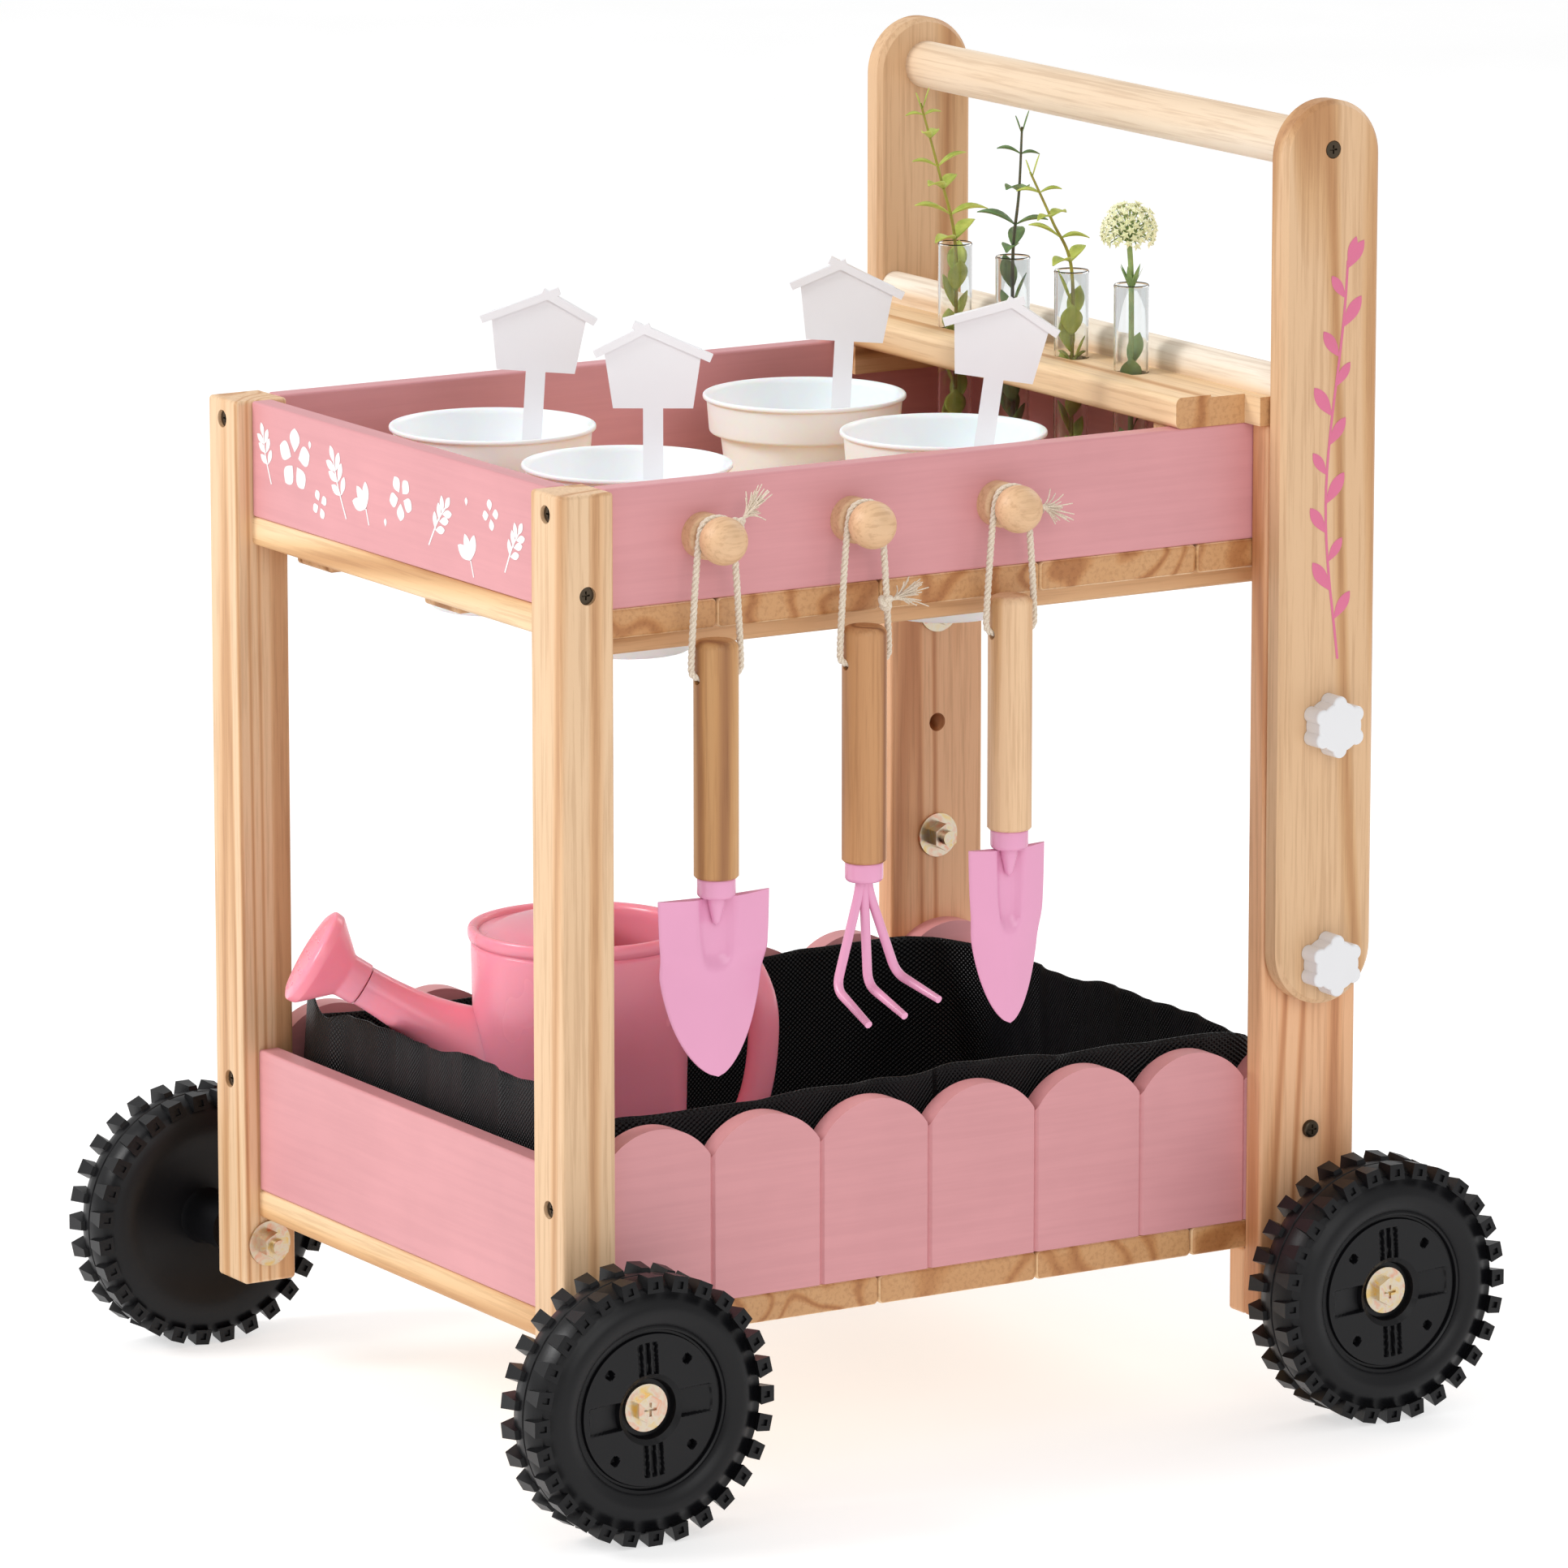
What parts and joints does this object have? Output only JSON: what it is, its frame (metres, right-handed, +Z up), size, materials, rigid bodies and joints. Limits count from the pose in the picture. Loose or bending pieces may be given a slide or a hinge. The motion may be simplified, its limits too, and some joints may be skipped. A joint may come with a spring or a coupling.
{
  "type": "garden push cart",
  "caption": "Child's wooden gardening push cart with planter box, potting tray, glass tubes, watering can and hanging hand tools",
  "frame": {"origin": "On the floor, at the middle of the rectangle over the wheels", "axes": "+X across the cart towards the side with the tool pegs, +Y along the cart towards the push handle, +Z up"},
  "size_m": [0.49, 0.5762, 0.6781],
  "materials": {
    "natural_wood": "matte clear-lacquered pale pine",
    "pink_paint": "satin pale pink paint on wood",
    "zinc_steel": "bright zinc plating",
    "black_fabric": "matte non-woven liner",
    "black_plastic": "moulded matte plastic",
    "white_plastic": "smooth moulded plastic",
    "clear_glass": "clear polished glass",
    "pink_steel": "satin violet-pink powder coat",
    "natural_rope": "twisted cotton cord",
    "pink_plastic": "semi-gloss moulded plastic"
  },
  "bodies": {
    "frame": {"front_post_left": "natural_wood", "front_post_right": "natural_wood", "rear_plank_left": "natural_wood", "rear_plank_right": "natural_wood", "rear_leg_blocks": "natural_wood", "deck_boards": "natural_wood", "deck_battens": "natural_wood", "floor_boards": "natural_wood", "tube_rack": "natural_wood", "rack_back_rail": "natural_wood", "rack_cleats": "natural_wood", "handle_side_left": "natural_wood", "handle_side_right": "natural_wood", "handle_bar": "natural_wood", "tray_front_wall": "pink_paint", "tray_back_wall": "pink_paint", "tray_left_wall": "pink_paint", "tray_right_wall": "pink_paint", "box_front_wall": "pink_paint", "box_back_wall": "pink_paint", "box_left_fence": "pink_paint", "box_right_fence": "pink_paint", "tool_pegs": "natural_wood", "planter_liner": "black_fabric", "frame_screws": "zinc_steel", "axle_bolts": "zinc_steel", "handle_studs": "zinc_steel", "m8_washers": "zinc_steel", "m8_nuts": "zinc_steel"},
    "wheel_front_left_body": {"wheel_front_left": "black_plastic"},
    "wheel_front_right_body": {"wheel_front_right": "black_plastic"},
    "wheel_rear_left_body": {"wheel_rear_left": "black_plastic"},
    "wheel_rear_right_body": {"wheel_rear_right": "black_plastic"},
    "star_knob_left_low_body": {"star_knob_left_low": "white_plastic"},
    "star_knob_left_high_body": {"star_knob_left_high": "white_plastic"},
    "star_knob_right_low_body": {"star_knob_right_low": "white_plastic"},
    "star_knob_right_high_body": {"star_knob_right_high": "white_plastic"},
    "pot_front_left_body": {"pot_front_left": "white_plastic"},
    "stake_front_left_body": {"stake_front_left": "white_plastic"},
    "pot_front_right_body": {"pot_front_right": "white_plastic"},
    "stake_front_right_body": {"stake_front_right": "white_plastic"},
    "pot_back_left_body": {"pot_back_left": "white_plastic"},
    "stake_back_left_body": {"stake_back_left": "white_plastic"},
    "pot_back_right_body": {"pot_back_right": "white_plastic"},
    "stake_back_right_body": {"stake_back_right": "white_plastic"},
    "glass_tube_1_body": {"glass_tube_1": "clear_glass"},
    "glass_tube_2_body": {"glass_tube_2": "clear_glass"},
    "glass_tube_3_body": {"glass_tube_3": "clear_glass"},
    "glass_tube_4_body": {"glass_tube_4": "clear_glass"},
    "wide_trowel_body": {"wide_trowel_grip": "natural_wood", "wide_trowel_head": "pink_steel", "wide_trowel_rope": "natural_rope"},
    "hand_rake_body": {"hand_rake_grip": "natural_wood", "hand_rake_head": "pink_steel", "hand_rake_rope": "natural_rope"},
    "narrow_trowel_body": {"narrow_trowel_grip": "natural_wood", "narrow_trowel_head": "pink_steel", "narrow_trowel_rope": "natural_rope"},
    "watering_can_body": {"watering_can": "pink_plastic"},
    "can_rose_body": {"can_rose": "pink_plastic"}
  },
  "joints": [
    {"name": "wheel_front_left_spin", "type": "hinge", "parent": "frame", "child": "wheel_front_left_body", "pos_m": [-0.22725, -0.22, 0.068], "axis": [1, 0, 0], "continuous": true},
    {"name": "wheel_front_right_spin", "type": "hinge", "parent": "frame", "child": "wheel_front_right_body", "pos_m": [0.22725, -0.22, 0.068], "axis": [1, 0, 0], "continuous": true},
    {"name": "wheel_rear_left_spin", "type": "hinge", "parent": "frame", "child": "wheel_rear_left_body", "pos_m": [-0.22725, 0.22, 0.068], "axis": [1, 0, 0], "continuous": true},
    {"name": "wheel_rear_right_spin", "type": "hinge", "parent": "frame", "child": "wheel_rear_right_body", "pos_m": [0.22725, 0.22, 0.068], "axis": [1, 0, 0], "continuous": true},
    {"name": "star_knob_left_low_turn", "type": "hinge", "parent": "frame", "child": "star_knob_left_low_body", "pos_m": [-0.205, 0.205, 0.235], "axis": [1, 0, 0], "continuous": true},
    {"name": "star_knob_left_high_turn", "type": "hinge", "parent": "frame", "child": "star_knob_left_high_body", "pos_m": [-0.205, 0.205, 0.359], "axis": [1, 0, 0], "continuous": true},
    {"name": "star_knob_right_low_turn", "type": "hinge", "parent": "frame", "child": "star_knob_right_low_body", "pos_m": [0.205, 0.205, 0.235], "axis": [1, 0, 0], "continuous": true},
    {"name": "star_knob_right_high_turn", "type": "hinge", "parent": "frame", "child": "star_knob_right_high_body", "pos_m": [0.205, 0.205, 0.359], "axis": [1, 0, 0], "continuous": true},
    {"name": "pot_front_left_lift", "type": "slide", "parent": "frame", "child": "pot_front_left_body", "axis": [0, 0, 1], "range_m": [0, 0.11]},
    {"name": "stake_front_left_lift", "type": "slide", "parent": "pot_front_left_body", "child": "stake_front_left_body", "axis": [0, 0, 1], "range_m": [0, 0.1]},
    {"name": "pot_front_right_lift", "type": "slide", "parent": "frame", "child": "pot_front_right_body", "axis": [0, 0, 1], "range_m": [0, 0.11]},
    {"name": "stake_front_right_lift", "type": "slide", "parent": "pot_front_right_body", "child": "stake_front_right_body", "axis": [0, 0, 1], "range_m": [0, 0.1]},
    {"name": "pot_back_left_lift", "type": "slide", "parent": "frame", "child": "pot_back_left_body", "axis": [0, 0, 1], "range_m": [0, 0.11]},
    {"name": "stake_back_left_lift", "type": "slide", "parent": "pot_back_left_body", "child": "stake_back_left_body", "axis": [0, 0, 1], "range_m": [0, 0.1]},
    {"name": "pot_back_right_lift", "type": "slide", "parent": "frame", "child": "pot_back_right_body", "axis": [0, 0, 1], "range_m": [0, 0.11]},
    {"name": "stake_back_right_lift", "type": "slide", "parent": "pot_back_right_body", "child": "stake_back_right_body", "axis": [0, 0, 1], "range_m": [0, 0.1]},
    {"name": "glass_tube_1_lift", "type": "slide", "parent": "frame", "child": "glass_tube_1_body", "axis": [0, 0, 1], "range_m": [0, 0.09]},
    {"name": "glass_tube_2_lift", "type": "slide", "parent": "frame", "child": "glass_tube_2_body", "axis": [0, 0, 1], "range_m": [0, 0.09]},
    {"name": "glass_tube_3_lift", "type": "slide", "parent": "frame", "child": "glass_tube_3_body", "axis": [0, 0, 1], "range_m": [0, 0.09]},
    {"name": "glass_tube_4_lift", "type": "slide", "parent": "frame", "child": "glass_tube_4_body", "axis": [0, 0, 1], "range_m": [0, 0.09]},
    {"name": "wide_trowel_swing", "type": "hinge", "parent": "frame", "child": "wide_trowel_body", "pos_m": [0.1846, -0.149, 0.4855], "axis": [1, 0, 0], "range_deg": [-3, 3]},
    {"name": "hand_rake_swing", "type": "hinge", "parent": "frame", "child": "hand_rake_body", "pos_m": [0.1846, -0.0633, 0.4855], "axis": [1, 0, 0], "range_deg": [-3, 3]},
    {"name": "narrow_trowel_swing", "type": "hinge", "parent": "frame", "child": "narrow_trowel_body", "pos_m": [0.1846, 0.0224, 0.4855], "axis": [1, 0, 0], "range_deg": [-3, 3]},
    {"name": "watering_can_lift", "type": "slide", "parent": "frame", "child": "watering_can_body", "axis": [0, 0, 1], "range_m": [0, 0.12]},
    {"name": "can_rose_twist", "type": "hinge", "parent": "watering_can_body", "child": "can_rose_body", "pos_m": [-0.05781, -0.21351, 0.2225], "axis": [-0.4006, -0.7534, 0.5214], "continuous": true}
  ]
}
